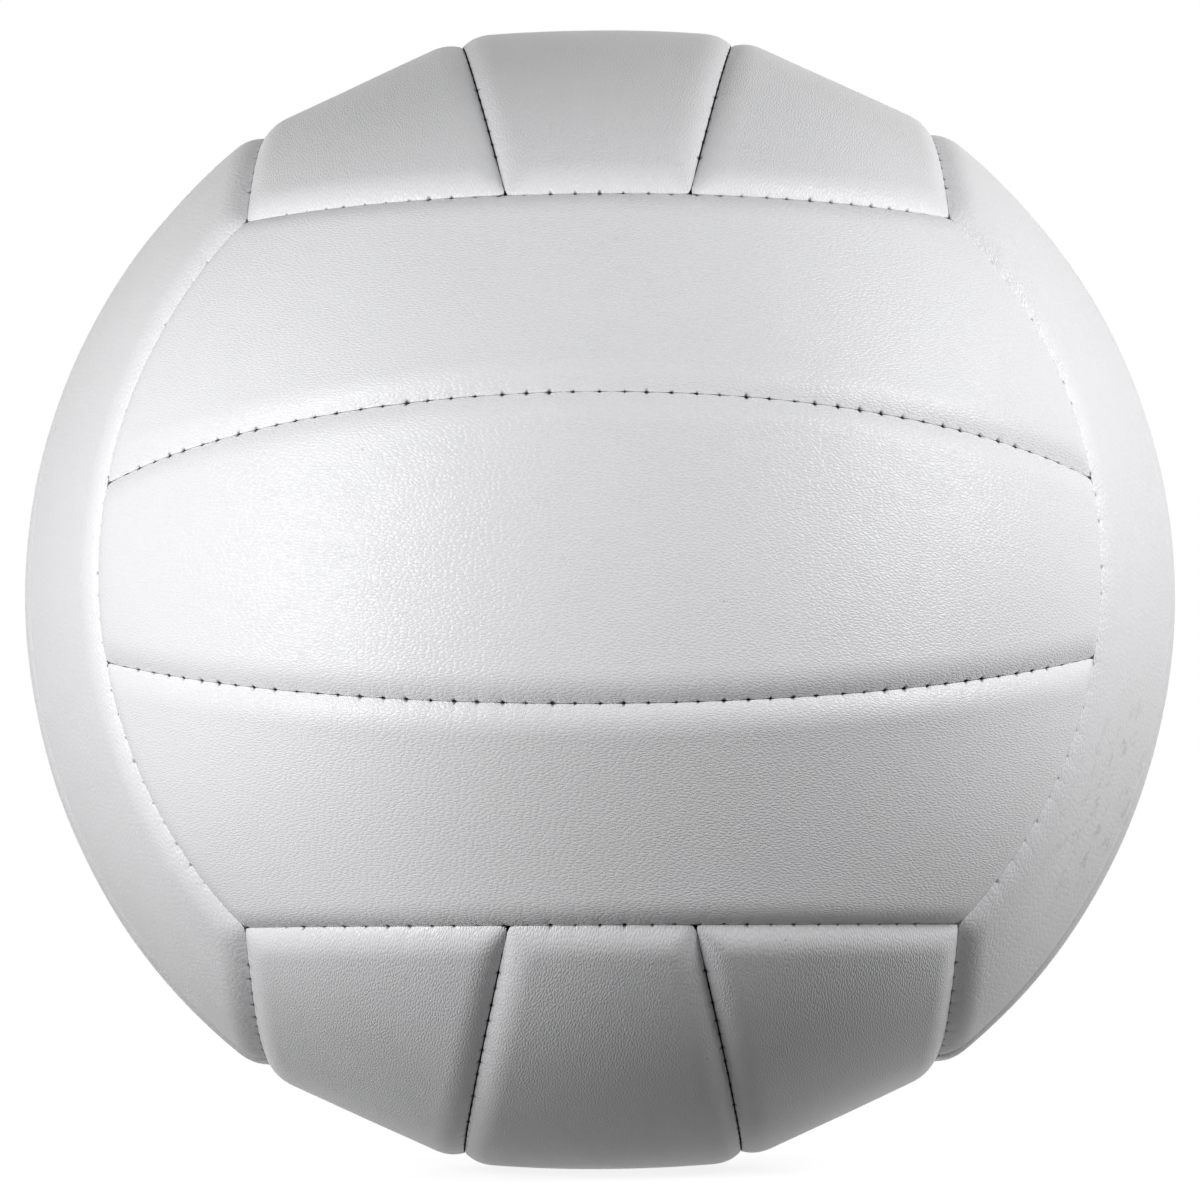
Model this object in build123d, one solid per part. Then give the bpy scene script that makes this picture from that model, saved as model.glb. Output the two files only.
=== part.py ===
from build123d import *
import os
from math import acos, asin, cos, degrees, pi, radians, sin, sqrt, tan

# A stitched volleyball of eighteen cover panels over a rubber bladder, in millimetres.
# The ball is six cube-like faces of three strips each. The origin is the ball's centre, +Z is up,
# the front face looks towards -Y and the valve sits in the middle strip of the back face, at +Y.
# Each face is modelled in its own frame: X along its strips, Y across them, Z outwards.

# Ball
ball_width = 210.0  # over the middle strips of two opposite faces
strip_seam_angle = 13.9  # degrees, from the middle of a face to its strip seams
strip_end_width = 31.2  # a middle strip at its two ends
middle_crown_share = 0.4  # how far a strip bulges across, from flat to as round as the ball
outer_crown_share = 0.0

# Cover panels
panel_thickness = 2.6
flange_thickness = 1.5  # the edge turned in along a seam
seam_gap = 0.4
shoulder_radius = 2.2  # the rolled edge beside a seam
strip_corner_radius = 2.8  # where a strip seam runs into a face seam
ball_corner_radius = 3.8  # where three faces meet

# Linings and bladder
glue_line = 0.1
lining_thickness = 0.6
lining_clearance = 0.3
bladder_wall = 0.9
bladder_clearance = 0.3

# Sewing thread
thread_diameter = 0.7
thread_depth = 1.0  # below the line where the two panels would meet

# Valve
stem_diameter = 8.4
stem_clearance = 0.3
stem_recess = 0.4  # of its rim below the panel
stem_rim_radius = 0.5
stem_base_diameter = 24.0
stem_base_thickness = 1.2
stem_tail_diameter = 10.6
stem_tail_length = 15.0
stem_lip_thickness = 1.5  # closes the tail behind the core
stem_lip_opening = 3.0
core_diameter = 5.6
core_neck_diameter = 4.4
core_neck_length = 3.0
core_clearance = 0.1
needle_diameter = 2.0
needle_depth = 11.0
needle_lead_in = 0.5
patch_diameter = 34.0
patch_thickness = 0.4

# Surfaces are drawn through this many rows of points, and run this share past their seams
rows_along = 17
rows_across = 9
overrun_share = 0.25

# Radii worked out from the sizes above
seam_sine = sin(radians(strip_seam_angle))
seam_cosine = cos(radians(strip_seam_angle))
face_radius = ball_width / 2
# The seams are drawn on a ball of this radius, as the sharp lines where the panels would meet
seam_radius = face_radius / (seam_cosine + middle_crown_share * (1 - seam_cosine))
lining_drop = panel_thickness + glue_line
patch_drop = lining_drop + lining_thickness + glue_line
bladder_radius = face_radius - patch_drop - patch_thickness - bladder_clearance
flange_radius = bladder_radius + bladder_clearance
reach = seam_radius + panel_thickness

# Seams on a ball of unit radius lie in planes, across = side * (offset + slope * outward).
# A face ends at 1 / sqrt(3) on all four sides, so three faces meet in each corner of a cube.
corner = 1 / sqrt(3)
corner_angle = degrees(acos(corner))
strip_end_share = strip_end_width / 2 / seam_radius
strip_slope = (seam_sine - strip_end_share) / (seam_cosine - corner)
strip_offset = strip_end_share - strip_slope * corner
upper_strip_seam = (strip_offset, strip_slope, 1)
lower_strip_seam = (strip_offset, strip_slope, -1)
upper_face_seam = (corner, 0, 1)
lower_face_seam = (corner, 0, -1)

# Each strip lies between two seams
strip_seams = {
    "middle": (lower_strip_seam, upper_strip_seam),
    "outer": (upper_strip_seam, upper_face_seam),
}
crown_shares = {"middle": middle_crown_share, "outer": outer_crown_share}

# Each face's strip direction, outward direction, strips from +Y to -Y and neighbours at +Y and -Y
faces = {
    "front": ((1, 0, 0), (0, -1, 0), ("upper", "middle", "lower"), ("top", "bottom")),
    "back": ((-1, 0, 0), (0, 1, 0), ("upper", "middle", "lower"), ("top", "bottom")),
    "left": ((0, 0, -1), (-1, 0, 0), ("front", "middle", "rear"), ("front", "back")),
    "right": ((0, 0, 1), (1, 0, 0), ("front", "middle", "rear"), ("front", "back")),
    "top": ((0, 1, 0), (0, 0, 1), ("left", "middle", "right"), ("left", "right")),
    "bottom": ((0, -1, 0), (0, 0, -1), ("left", "middle", "right"), ("left", "right")),
}
valve_place = ("back", "middle")


def seam_circle(seam):
    """A seam's circle on the unit ball: its centre, upright direction, radius and half turn."""
    offset, slope, side = seam
    tilt = sqrt(1 + slope**2)
    centre = Vector(0, side, -slope) * (offset / tilt**2)
    upright = Vector(0, side * slope, 1) / tilt
    radius = sqrt(1 - centre.length**2)
    half_turn = acos((corner - centre.Z) / (radius * upright.Z))
    return centre, upright, radius, half_turn


def seam_point(seam, along):
    """A point of the seam on the unit ball, from -1 at one end of the face to 1 at the other."""
    centre, upright, radius, half_turn = seam_circle(seam)
    turn = half_turn * along
    return centre + (Vector(sin(turn)) + upright * cos(turn)) * radius


def crown_point(strip, along, across, drop):
    """A point of the panel: flat or a little crowned in mid length, as round as the ball at its ends."""
    near, far = (seam_point(seam, along) for seam in strip_seams[strip])
    chord = near + (far - near) * across
    crown_share = crown_shares[strip]
    fullness = crown_share + (1 - crown_share) * sin(pi / 2 * along) ** 4
    radius = seam_radius * (chord.length + fullness * (1 - chord.length)) - drop
    return chord.normalized() * radius


def spread(low, high, count):
    """Evenly spaced shares that run past both ends."""
    spare = (high - low) * overrun_share
    step = (high - low + 2 * spare) / (count - 1)
    return [low - spare + step * i for i in range(count)]


def above_crown(strip, drop):
    """All the space outside the panel's surface, which is lowered by drop."""
    points = []
    for along in spread(-1, 1, rows_along):
        points.append([crown_point(strip, along, across, drop) for across in spread(0, 1, rows_across)])
    return extrude(Face.make_surface_from_array_of_points(points), amount=reach, dir=(0, 0, 1))


def ball(radius):
    """A whole ball with its poles across the face, so that its own edge is clear of the strips."""
    return Rotation(90, 0, 0) * Sphere(radius)


def rod(radius, low, high):
    """A round rod along Z between two heights."""
    body = Cylinder(radius, high - low, align=(Align.CENTER, Align.CENTER, Align.MIN))
    return Pos(0, 0, low) * body


def seam_cone(half_angle):
    """A cone from the ball's centre out along Z, with its own edge at one side of the face."""
    cone = Cone(0, reach * tan(radians(half_angle)), reach, align=(Align.CENTER, Align.CENTER, Align.MIN))
    return Rotation(0, 0, 90) * cone


def strip_plane(inset, side):
    """The plane of a strip seam, moved outwards across the face by inset."""
    normal = Vector(0, side, -strip_slope).normalized()
    distance = strip_offset * seam_radius * abs(normal.Y) + inset
    return Plane(normal * distance, x_dir=(1, 0, 0), z_dir=normal)


def round_corners(body, at_ball_corners, radius):
    """Rounds the upright edges at the corners of the ball, or those at the strip seams."""
    edges = []
    for edge in body.edges():
        upright = abs((edge @ 0).length - (edge @ 1).length) > panel_thickness
        if upright and ((edge @ 0).Y > strip_end_width) == at_ball_corners:
            edges.append(edge)
    return fillet(edges, radius)


def strip_block(strip, inset, drop, floor_radius):
    """The strip's solid between its seams, drawn in by inset, from floor_radius up to its crown."""
    inset_angle = degrees(asin(inset / seam_radius))
    turned_in = inset - seam_gap / 2
    body = (ball(reach) - ball(floor_radius)) & seam_cone(corner_angle - inset_angle)
    if strip == "middle":
        body = split(body, bisect_by=strip_plane(-inset, 1), keep=Keep.BOTTOM)
        body = split(body, bisect_by=strip_plane(-inset, -1), keep=Keep.BOTTOM)
    else:
        body = split(body, bisect_by=strip_plane(inset, 1), keep=Keep.TOP)
        body -= Rotation(-90, 0, 0) * seam_cone(corner_angle + inset_angle)
        body = round_corners(body, True, ball_corner_radius - turned_in)
    body = round_corners(body, False, strip_corner_radius - turned_in)
    return body - above_crown(strip, drop)


def cover_panel(strip):
    """A crowned tray: rolled shoulders outside, edges turned in along the seams, open inside."""
    body = strip_block(strip, seam_gap / 2, 0, flange_radius)
    crown = body.faces().sort_by(SortBy.AREA)[-1]
    body = fillet(crown.edges(), shoulder_radius)
    return body - strip_block(strip, seam_gap / 2 + flange_thickness, panel_thickness, bladder_radius)


def lining(strip):
    """A cloth sheet glued inside the panel, between its turned-in edges."""
    inset = seam_gap / 2 + flange_thickness + lining_clearance
    body = strip_block(strip, inset, lining_drop, bladder_radius)
    return body & above_crown(strip, lining_drop + lining_thickness)


def valve_patch():
    """A ring glued over the lining round the valve hole, shaped to the panel."""
    ring = rod(patch_diameter / 2, 0, reach)
    ring -= above_crown("middle", patch_drop)
    return ring & above_crown("middle", patch_drop + patch_thickness)


valve_hole = rod(stem_diameter / 2 + stem_clearance, 0, reach)
bladder_inner_radius = bladder_radius - bladder_wall
stem_top = face_radius - stem_recess
base_top_radius = bladder_inner_radius - glue_line
base_low_radius = base_top_radius - stem_base_thickness
stem_low = base_low_radius - stem_tail_length
core_low = stem_low + stem_lip_thickness
neck_low = stem_top - core_neck_length


def bladder():
    """A thin rubber ball with a hole for the valve stem."""
    return ball(bladder_radius) - ball(bladder_inner_radius) - valve_hole


def valve_stem():
    """A rubber boss through the panel, on a base inside the bladder, with a tail for the core."""
    body = rod(stem_diameter / 2, base_low_radius, stem_top)
    body = fillet(body.edges().sort_by(Axis.Z)[-1], stem_rim_radius)
    base = rod(stem_base_diameter / 2, stem_low, reach) & (ball(base_top_radius) - ball(base_low_radius))
    body += base + rod(stem_tail_diameter / 2, stem_low, base_low_radius)
    body -= rod(stem_lip_opening / 2, stem_low, stem_top)
    body -= rod(core_diameter / 2 + core_clearance, core_low, neck_low + core_clearance)
    return body - rod(core_neck_diameter / 2 + core_clearance, core_low, stem_top)


def valve_core():
    """A soft plug held between the stem's mouth and lip, with the needle hole down its middle."""
    body = rod(core_diameter / 2, core_low + core_clearance, neck_low)
    body += rod(core_neck_diameter / 2, core_low + core_clearance, stem_top)
    body -= rod(needle_diameter / 2, stem_top - needle_depth, stem_top)
    mouth = body.edges().filter_by(GeomType.CIRCLE).group_by(Axis.Z)[-1].sort_by(SortBy.RADIUS)[0]
    return chamfer(mouth, needle_lead_in)


def seam_thread(seam):
    """The thread that lies down in the groove of a seam: a round cord bent along the seam's arc."""
    centre, upright, radius, half_turn = seam_circle(seam)
    size = seam_radius - thread_depth
    axis = Axis(centre * size, upright.cross(Vector(1, 0, 0)))
    end_share = 1 - thread_diameter / (half_turn * radius * size)
    start = seam_point(seam, -end_share) * size
    spoke = start - centre * size
    section = Plane(start, x_dir=spoke, z_dir=axis.direction.cross(spoke))
    return revolve(section * Circle(thread_diameter / 2), axis, degrees(2 * half_turn * end_share))


def write(name, body):
    export_step(body, os.path.join("parts", name + ".step"))


os.makedirs("parts", exist_ok=True)
panels = {strip: cover_panel(strip) for strip in strip_seams}
linings = {strip: lining(strip) for strip in strip_seams}
strip_threads = [seam_thread(upper_strip_seam), seam_thread(lower_strip_seam)]
face_threads = [seam_thread(upper_face_seam), seam_thread(lower_face_seam)]

for face, (along, outward, strips, neighbours) in faces.items():
    place = Plane((0, 0, 0), x_dir=along, z_dir=outward).location
    for strip, kind, turn in zip(strips, ("outer", "middle", "outer"), (0, 0, 180)):
        panel = panels[kind]
        sheet = linings[kind]
        if (face, strip) == valve_place:
            panel = panel - valve_hole
            sheet = sheet - valve_hole
        write(f"{face}_{strip}_panel", place * Rotation(0, 0, turn) * panel)
        write(f"{face}_{strip}_lining", place * Rotation(0, 0, turn) * sheet)
    write(f"{face}_strip_threads", Compound(children=[place * thread for thread in strip_threads]))
    for neighbour, thread in zip(neighbours, face_threads):
        write(f"{face}_{neighbour}_thread", place * thread)

valve = Plane((0, 0, 0), x_dir=faces[valve_place[0]][0], z_dir=faces[valve_place[0]][1]).location
write("valve_patch", valve * (valve_patch() - valve_hole))
write("bladder", valve * bladder())
write("valve_stem", valve * valve_stem())
write("valve_core", valve * valve_core())
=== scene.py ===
import math
import bpy
import numpy as np
from mathutils import Matrix, Vector


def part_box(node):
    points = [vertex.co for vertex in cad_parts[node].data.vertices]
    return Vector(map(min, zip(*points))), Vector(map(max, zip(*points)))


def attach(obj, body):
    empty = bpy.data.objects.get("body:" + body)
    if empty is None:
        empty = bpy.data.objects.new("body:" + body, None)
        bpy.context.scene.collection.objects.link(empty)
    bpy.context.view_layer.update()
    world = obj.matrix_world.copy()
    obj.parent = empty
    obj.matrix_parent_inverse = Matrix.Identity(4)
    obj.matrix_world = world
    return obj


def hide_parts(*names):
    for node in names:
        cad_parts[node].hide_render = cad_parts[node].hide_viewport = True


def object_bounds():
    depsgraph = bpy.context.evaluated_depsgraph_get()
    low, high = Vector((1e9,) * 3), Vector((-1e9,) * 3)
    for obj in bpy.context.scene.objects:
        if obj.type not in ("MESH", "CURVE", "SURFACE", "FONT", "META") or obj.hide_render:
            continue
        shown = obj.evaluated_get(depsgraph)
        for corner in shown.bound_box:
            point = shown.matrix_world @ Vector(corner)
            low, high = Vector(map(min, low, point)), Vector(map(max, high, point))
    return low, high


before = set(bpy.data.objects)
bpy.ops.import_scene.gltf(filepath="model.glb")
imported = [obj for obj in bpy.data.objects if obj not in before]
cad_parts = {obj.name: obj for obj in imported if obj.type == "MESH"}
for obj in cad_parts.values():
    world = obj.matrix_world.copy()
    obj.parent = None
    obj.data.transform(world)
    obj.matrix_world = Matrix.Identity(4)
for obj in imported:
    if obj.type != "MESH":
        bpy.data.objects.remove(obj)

cadLow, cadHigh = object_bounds()
print("frame:", len(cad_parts), "nodes")

# the ball: its seams lie on one sphere; sizes are metres unless a note says otherwise
ball = {
    "stripSeamAngle": math.radians(13.9),  # from the middle of a face to its strip seams
    "stripEndWidth": 0.0312,  # of a middle strip at its two ends
    "crown": {"middle": 0.4, "outer": 0.0},  # 0 is flat across, 1 as round as the ball
    "crownPower": 4,  # how late a strip rounds out to the ball towards its ends
    "flangeDepth": 0.0038,  # of the panels' turned-in edges, under the middle of a face
}
faceRadius = -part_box("front_middle_panel")[0].y
seamSine = math.sin(ball["stripSeamAngle"])
seamCosine = math.cos(ball["stripSeamAngle"])
seamRadius = faceRadius / (seamCosine + ball["crown"]["middle"] * (1 - seamCosine))
flangeRadius = faceRadius - ball["flangeDepth"]
corner = 1 / math.sqrt(3)  # a face ends here on the unit ball, on all four sides

# each face: along its strips, outwards, its strips from + to - across, and the faces joined there
faces = {
    "front": ((1, 0, 0), (0, -1, 0), ("upper", "middle", "lower"), ("top", "bottom")),
    "back": ((-1, 0, 0), (0, 1, 0), ("upper", "middle", "lower"), ("top", "bottom")),
    "left": ((0, 0, -1), (-1, 0, 0), ("front", "middle", "rear"), ("front", "back")),
    "right": ((0, 0, 1), (1, 0, 0), ("front", "middle", "rear"), ("front", "back")),
    "top": ((0, 1, 0), (0, 0, 1), ("left", "middle", "right"), ("left", "right")),
    "bottom": ((0, -1, 0), (0, 0, -1), ("left", "middle", "right"), ("left", "right")),
}


def faceAxes(face):
    # rows: along, across and outwards, so local points @ axes are in the ball's frame
    along, out = faces[face][:2]
    return np.array([along, np.cross(out, along), out], float)


def ballStrips():
    # every strip of the ball; a face's third strip is its first one turned half round
    found = []
    halfTurn = np.diag([-1.0, -1, 1])
    for face, (_, _, names, _) in faces.items():
        axes = faceAxes(face)
        for index, strip in enumerate(names):
            found.append({
                "face": face, "name": f"{face}_{strip}", "number": len(found),
                "kind": "middle" if index == 1 else "outer",
                "axes": halfTurn @ axes if index == 2 else axes,
            })
    return found


def seamArc(offset, slope, side):
    # unit ball cut by the plane across = side * (offset + slope * out): a circle about centre
    tilt = math.hypot(1, slope)
    centre = np.array([0, side, -slope]) * offset / tilt**2
    upright = np.array([0, side * slope, 1]) / tilt
    radius = math.sqrt(1 - centre @ centre)
    halfTurn = math.acos((corner - centre[2]) / (radius * upright[2]))
    return {"centre": centre, "upright": upright, "radius": radius, "halfTurn": halfTurn}


def seamPoint(seam, along):
    # centre + radius * (sin(turn) * X + cos(turn) * upright), turn = half turn * along
    turn = seam["halfTurn"] * np.asarray(along, float)[..., None]
    swing = np.sin(turn) * np.array([1.0, 0, 0]) + np.cos(turn) * seam["upright"]
    return seam["centre"] + seam["radius"] * swing


def seamLength(seam):
    # arc of the circle: 2 * half turn * radius
    return 2 * seam["halfTurn"] * seam["radius"] * seamRadius


endShare = ball["stripEndWidth"] / 2 / seamRadius
stripSlope = (seamSine - endShare) / (seamCosine - corner)
stripOffset = endShare - stripSlope * corner
stripSeams = [seamArc(stripOffset, stripSlope, side) for side in (1, -1)]
faceSeams = [seamArc(corner, 0, side) for side in (1, -1)]
strips = {
    "middle": {"seams": (stripSeams[1], stripSeams[0]), "crown": ball["crown"]["middle"]},
    "outer": {"seams": (stripSeams[0], faceSeams[0]), "crown": ball["crown"]["outer"]},
}


def halfWidth(strip, along):
    # half the straight distance between the strip's two seams
    near, far = (seamPoint(seam, along) for seam in strip["seams"])
    return np.linalg.norm(far - near, axis=-1) / 2 * seamRadius


def halfLength(strip, across):
    # blend of the two seams' half lengths
    near, far = (seamLength(seam) / 2 for seam in strip["seams"])
    return near + (far - near) * (np.asarray(across) + 1) / 2


def seamChord(strip, along, across):
    # straight line from one seam to the other
    near, far = (seamPoint(seam, along) for seam in strip["seams"])
    return near + (far - near) * ((across + 1) / 2)[..., None]


endSearch = {"samples": 65, "low": 0.9, "high": 1.2, "halvings": 40}


def stripEnd(strip):
    # how far along each line has to run to end on the face's round edge, found by halving
    across = np.linspace(-1, 1, endSearch["samples"])
    low, high = np.full_like(across, endSearch["low"]), np.full_like(across, endSearch["high"])
    for halving in range(endSearch["halvings"]):
        middle = (low + high) / 2
        chord = seamChord(strip, middle, across)
        inside = chord[:, 2] > corner * np.linalg.norm(chord, axis=1)
        low, high = np.where(inside, middle, low), np.where(inside, high, middle)
    return across, low


for strip in strips.values():
    strip["end"] = stripEnd(strip)


def crownSurface(strip, along, across):
    # chord between the seams, filled out to the ball by crown + (1 - crown) * sin(90 deg * along)^power
    chord = seamChord(strip, along * np.interp(across, *strip["end"]), across)
    length = np.linalg.norm(chord, axis=-1)
    towardsEnd = np.sin(math.pi / 2 * along) ** ball["crownPower"]
    fullness = strip["crown"] + (1 - strip["crown"]) * towardsEnd
    return chord / length[..., None], seamRadius * (length + fullness * (1 - length))


# rows of stitches: each row is counted from one end of its seam to the other
stitching = {
    "pitch": 0.0041,
    "shift": 0.00035, "shiftSalt": 1.7,  # most that a stitch is off its even place
    "drawnLeast": 0.6, "drawnSpread": 0.7, "drawnSalt": 5.3,  # how hard a stitch is drawn
    "heading": (1.0, 1.37, 1.91), "headingStep": 0.01,  # the way that both panels of a seam count as forward
    "halfWidth": 0.00030,  # of the notch that a stitch pulls into an edge
    "pull": 0.00031,  # sideways
    "sink": 0.00008, "sinkReach": 0.0009,  # downwards, on the shoulder
    "wave": 0.00006,  # of the edge between two stitches
    "hole": 0.00033, "holeInset": 0.00008,  # radius of the needle's hole in the shoulder, and its place
    "holeSoft": 0.00014, "holeDepth": 0.00018,
    "cornerFade": 0.0014,  # the stitches die out this close to a corner
    "parted": 0.00020,  # how far the strips of the top and bottom stand back on each side of a seam
    "partedFade": 0.006,  # nothing at the seam's ends
}
hashing = {
    "steps": 2e4,  # places are rounded to this part of the radius, so that both panels of a seam agree
    "mix": (12.9898, 78.233, 37.719), "gain": 437.585,
}


def scatter(points, salt):
    # one even number from 0 to 1 for each place: the fraction of a large sine
    mixed = np.round(points * hashing["steps"]) @ np.array(hashing["mix"]) + salt
    return np.modf(np.abs(np.sin(mixed) * hashing["gain"]))[0]


def endSeamPoint(side):
    # the next face's seam, seen from a strip that ends on it: a level circle at the height of the corner
    def point(seam, along):
        turn = seam["halfTurn"] * along
        swing = np.stack([side * np.cos(turn), np.sin(turn), np.zeros_like(turn)], -1)
        return seam["radius"] * swing + np.array([0, 0, corner])
    return point


endPoint = {side: endSeamPoint(side) for side in (-1, 1)}


def stitchPull(seam, along, placeOf, axes):
    # distance to the nearest stitch of the row and to its even place, and how hard that stitch is drawn
    count = round(seamLength(seam) / stitching["pitch"])
    index = np.clip(np.floor((along + 1) / 2 * count), 0, count - 1)
    middle = (2 * index + 1) / count - 1
    place = placeOf(seam, middle) @ axes
    ahead = placeOf(seam, middle + stitching["headingStep"]) @ axes
    forward = np.sign((ahead - place) @ np.array(stitching["heading"]))
    off = (scatter(place, stitching["shiftSalt"]) - 0.5) * 2 * stitching["shift"] * forward
    even = (along - middle) * seamLength(seam) / 2
    drawn = stitching["drawnLeast"] + stitching["drawnSpread"] * scatter(place, stitching["drawnSalt"])
    return even - off, even, drawn


def latticeIndex(cells):
    # numbers of a lattice's points, row after row
    rows, columns = cells[0] + 1, cells[1] + 1
    return np.arange(rows * columns).reshape(rows, columns)


def gridFaces(cells, first):
    # quads of a lattice whose points start at first
    index = first + latticeIndex(cells)
    return np.stack([index[:-1, :-1], index[1:, :-1], index[1:, 1:], index[:-1, 1:]], -1)


def rimLoop(cells, fine, arc):
    # once round the panel: four sides cut into fine steps, and a bend round each corner;
    # sigma and tau run from -1 to 1 along and across, dirS and dirT point outwards there
    loop = {"sigma": [], "tau": [], "dirS": [], "dirT": []}
    turns = [(0, -1), (1, 0), (0, 1), (-1, 0)]
    for side, (dirS, dirT) in enumerate(turns):
        steps = cells[side % 2] * fine
        run = np.linspace(-1, 1, steps + 1) * (1 if side < 2 else -1)
        still = np.ones(steps + 1)
        loop["sigma"].append(run if side % 2 == 0 else dirS * still)
        loop["tau"].append(dirT * still if side % 2 == 0 else run)
        loop["dirS"].append(dirS * still)
        loop["dirT"].append(dirT * still)
        bend = (side - 1) * math.pi / 2 + np.linspace(0, math.pi / 2, arc + 1)[1:-1]
        bent = np.ones(arc - 1)
        loop["sigma"].append(bent * (dirS if side % 2 else turns[(side + 1) % 4][0]))
        loop["tau"].append(bent * (dirT if side % 2 == 0 else turns[(side + 1) % 4][1]))
        loop["dirS"].append(np.cos(bend))
        loop["dirT"].append(np.sin(bend))
    return {key: np.concatenate(parts) for key, parts in loop.items()}


def ringPlace(strip, rim, loop, inset, square):
    # a ring inset from the seams; its corners are |x|^square + |y|^square = reach^square,
    # a quarter circle at 2 and tighter above it
    size = (np.abs(loop["dirS"]) ** square + np.abs(loop["dirT"]) ** square) ** (1 / square)
    length = loop["length"]
    along = loop["sigma"] * (1 - rim / length) + loop["dirS"] / size * (rim - inset) / length
    width = halfWidth(strip, along)
    across = loop["tau"] * (1 - rim / width) + loop["dirT"] / size * (rim - inset) / width
    return along, across


def nearestStitch(strip, shape, loop, axes):
    # a strip's sides are sewn along its own seams and its ends along the next face's seam
    along, across = ringPlace(strip, shape["rim"], loop, np.zeros(len(loop["length"])), shape["square"])
    distance, even, drawn = np.zeros((3, len(along)))
    for side, seam in zip((-1, 1), strip["seams"]):
        chosen = ~loop["onEnd"] & (loop["dirT"] * side > 0)
        pulled = stitchPull(seam, along[chosen], seamPoint, axes)
        distance[chosen], even[chosen], drawn[chosen] = pulled
    direction = crownSurface(strip, along, across)[0]
    seam = faceSeams[0]
    for side in (-1, 1):
        chosen = loop["onEnd"] & (loop["dirS"] * side > 0)
        swing = np.arctan2(direction[chosen, 1], side * direction[chosen, 0]) / seam["halfTurn"]
        pulled = stitchPull(seam, swing, endPoint[side], axes)
        distance[chosen], even[chosen], drawn[chosen] = pulled
    return {"distance": distance, "even": even, "drawn": drawn}


def sewnLoop(strip, shape, axes):
    # the rim with its stitches; its fine points gather at them by x - gather * sin(x), and not at the corners
    loop = rimLoop(shape["cells"], shape["fine"], shape["arc"])
    onEnd = np.abs(loop["dirS"]) > np.abs(loop["dirT"])
    straight = np.abs(loop["dirS"]) + np.abs(loop["dirT"]) == 1
    length, endWidth = halfLength(strip, loop["tau"]), halfWidth(strip, np.ones(1))
    room = np.where(onEnd, (1 - np.abs(loop["tau"])) * endWidth, (1 - np.abs(loop["sigma"])) * length)
    loop.update(onEnd=onEnd, length=length, room=room)
    pitch = stitching["pitch"]
    even = nearestStitch(strip, shape, loop, axes)["even"]
    closer = -shape["gather"] * pitch / (2 * math.pi) * np.sin(2 * math.pi * even / pitch)
    closer *= np.clip(room / pitch, 0, 1)
    loop["sigma"] = loop["sigma"] + np.where(straight & ~onEnd, closer / length, 0)
    loop["tau"] = loop["tau"] + np.where(straight & onEnd, closer / endWidth, 0)
    loop.update(nearestStitch(strip, shape, loop, axes))
    loop["drawn"] = loop["drawn"] * np.clip(room / stitching["cornerFade"], 0, 1)
    return loop


def rimFans(shape, count, joins):
    # polygons between each lattice and its nearest ring: one for each cell, and one at each corner
    cells, fine, arc = shape["cells"], shape["fine"], shape["arc"]
    index = latticeIndex(cells)
    fans, start = [], 0
    for side, coarse in enumerate([index[:, 0], index[-1, :], index[::-1, -1], index[0, ::-1]]):
        steps = np.arange(cells[side % 2]) * fine
        run = (start + steps[:, None] + np.arange(fine + 1)) % count
        start += cells[side % 2] * fine
        bend = (start + np.arange(arc + 1)) % count
        start += arc
        for ring, lattice, order in joins:
            fan = [ring + run, lattice + coarse[1:, None], lattice + coarse[:-1, None]]
            fans.append(np.concatenate(fan, 1)[:, ::order])
        for ring, lattice, order in joins:
            fans.append(np.concatenate([ring + bend, [lattice + coarse[-1]]])[None, ::order])
    return fans


def holeLoop(cells, block):
    # lattice points once round the square block that a hole takes out of the middle
    index = latticeIndex(cells)
    i, j = cells[0] // 2, cells[1] // 2
    low, high = (i - block[0], j - block[1]), (i + block[0], j + block[1])
    return np.concatenate([
        index[low[0]:high[0], low[1]], index[high[0], low[1]:high[1]],
        index[high[0]:low[0]:-1, high[1]], index[low[0], high[1]:low[1]:-1],
    ])


denting = {"waves": 7, "shortest": 0.022, "longest": 0.060}


def dents(place, seed, height):
    # soft unevenness: the mean of a few long sine waves over the panel
    draw = np.random.default_rng(seed)
    total = np.zeros(place.shape[:-1])
    for wave in range(denting["waves"]):
        heading = draw.uniform(0, 2 * math.pi)
        length = draw.uniform(denting["shortest"], denting["longest"])
        phase = draw.uniform(0, 2 * math.pi)
        run = place[..., 0] * math.cos(heading) + place[..., 1] * math.sin(heading)
        total += np.sin(2 * math.pi * run / length + phase)
    return total * height / denting["waves"]


def edgeRing(inset, depth, pull=0, sink=0, **other):
    # one ring over a panel's edge; pull and sink are shares of what a stitch does
    return {"inset": inset, "depth": depth, "pull": pull, "sink": sink, "floor": False, "pricked": 0, **other}


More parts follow.
